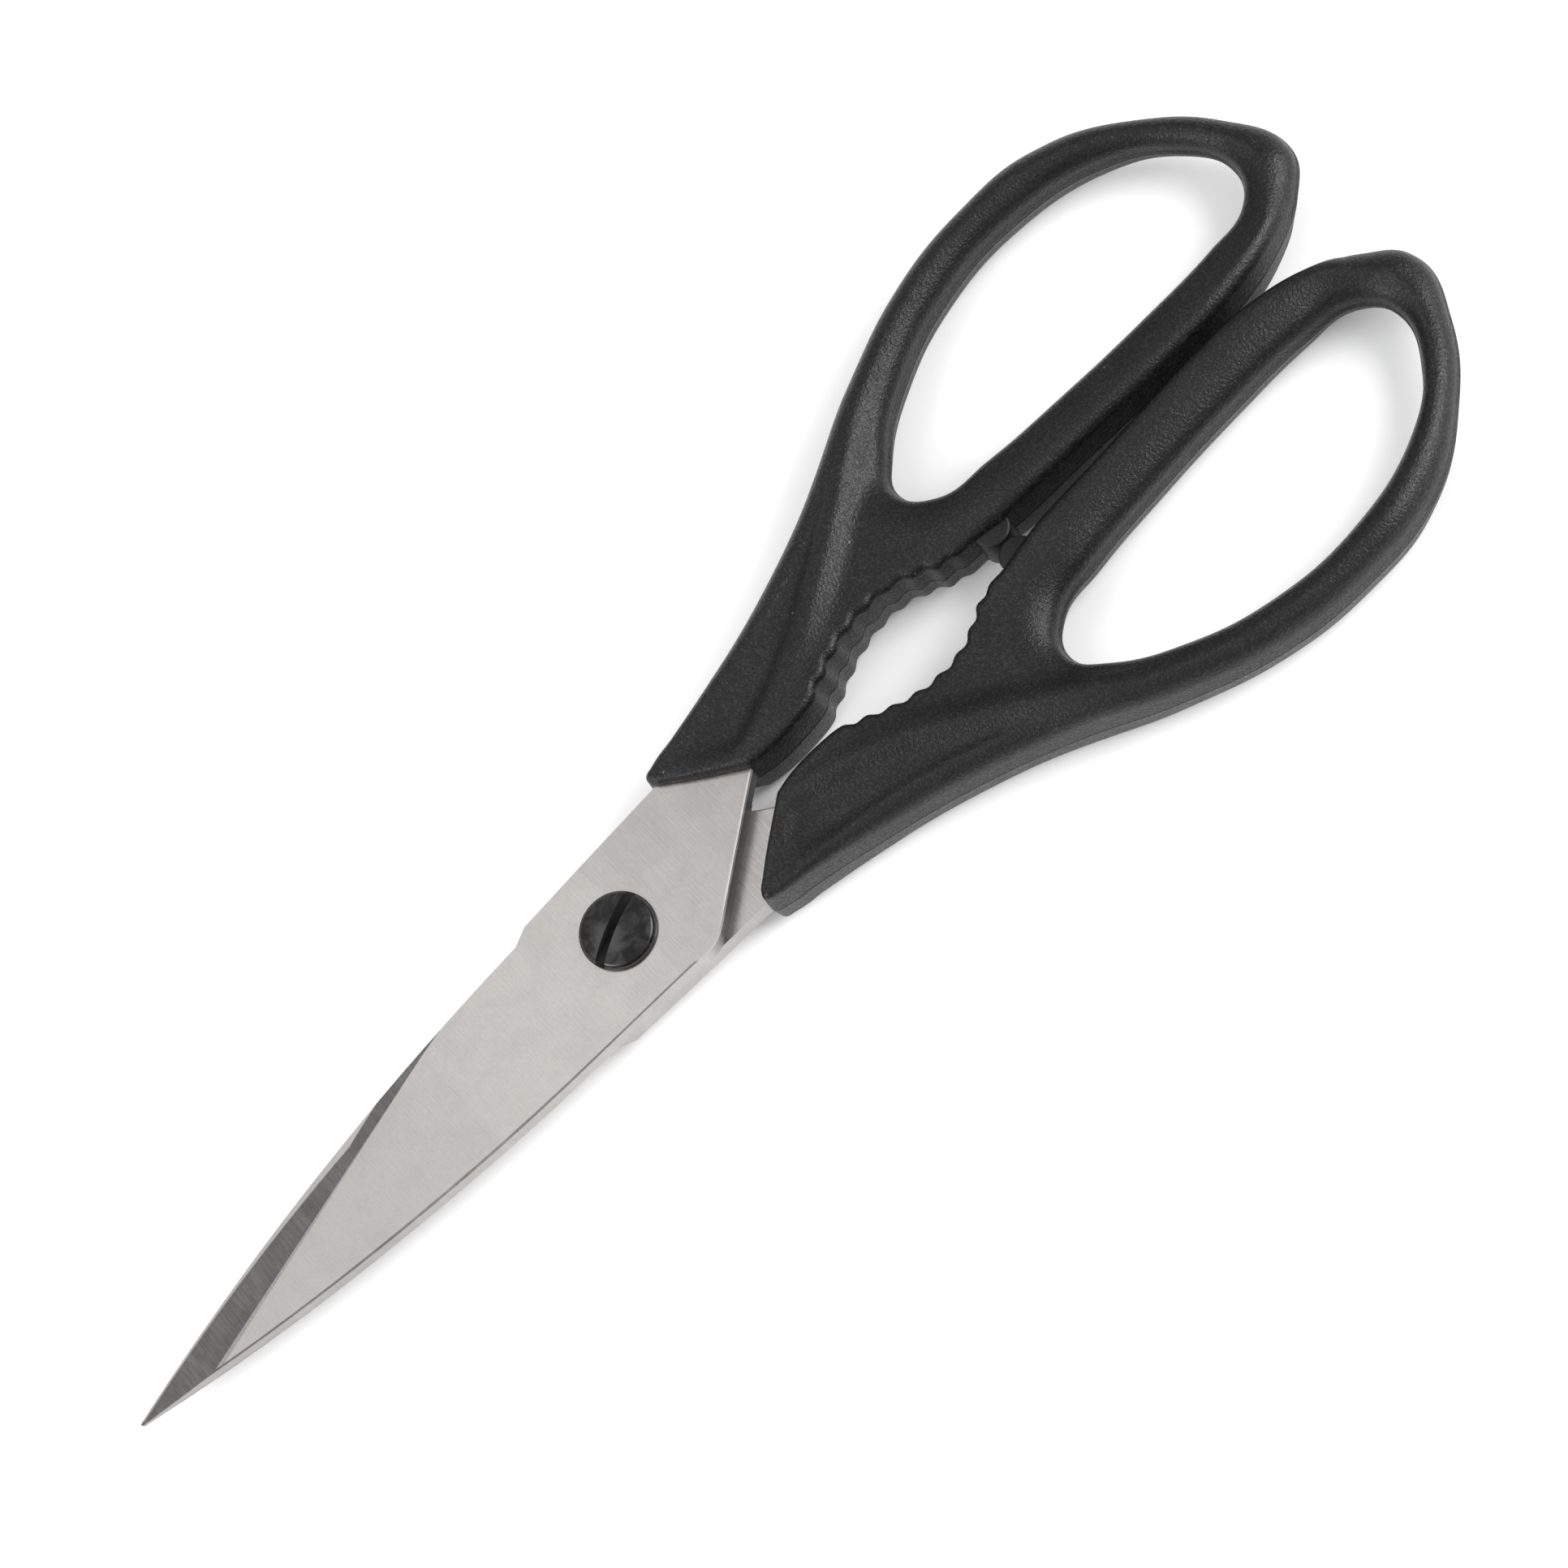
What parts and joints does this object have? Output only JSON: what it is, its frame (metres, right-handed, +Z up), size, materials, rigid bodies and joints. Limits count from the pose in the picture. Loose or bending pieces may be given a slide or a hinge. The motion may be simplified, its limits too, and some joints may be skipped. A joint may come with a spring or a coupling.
{
  "type": "poultry shears",
  "caption": "Hand shears with long pointed steel blades on one screw pivot, moulded finger-loop handles and a scalloped grip opening for bottles and shells.",
  "frame": {"origin": "bottom centre of the closed shears' box, on the surface that the handles lie on", "axes": "+X from the blade tips towards the handle ends, +Z up along the pivot screw, towards its head"},
  "size_m": [0.226, 0.0794, 0.0125],
  "materials": {
    "blade_steel": "ground satin",
    "handle_plastic": "fine spark-eroded grain",
    "buffer_rubber": "smooth",
    "black_oxide": "black oxide, semi-gloss"
  },
  "bodies": {
    "rear_half": {"rear_blade": "blade_steel", "rear_handle": "handle_plastic", "rear_stop_buffer": "buffer_rubber", "pivot_screw": "black_oxide", "head_washer": "black_oxide", "nut_washer": "black_oxide", "pivot_nut": "black_oxide"},
    "front_half": {"front_blade": "blade_steel", "front_handle": "handle_plastic", "front_stop_buffer": "buffer_rubber"}
  },
  "joints": [
    {"name": "pivot", "type": "hinge", "parent": "rear_half", "child": "front_half", "pos_m": [-0.0227, 0, 0.00625], "axis": [0, 0, 1], "range_deg": [0, 110]}
  ]
}
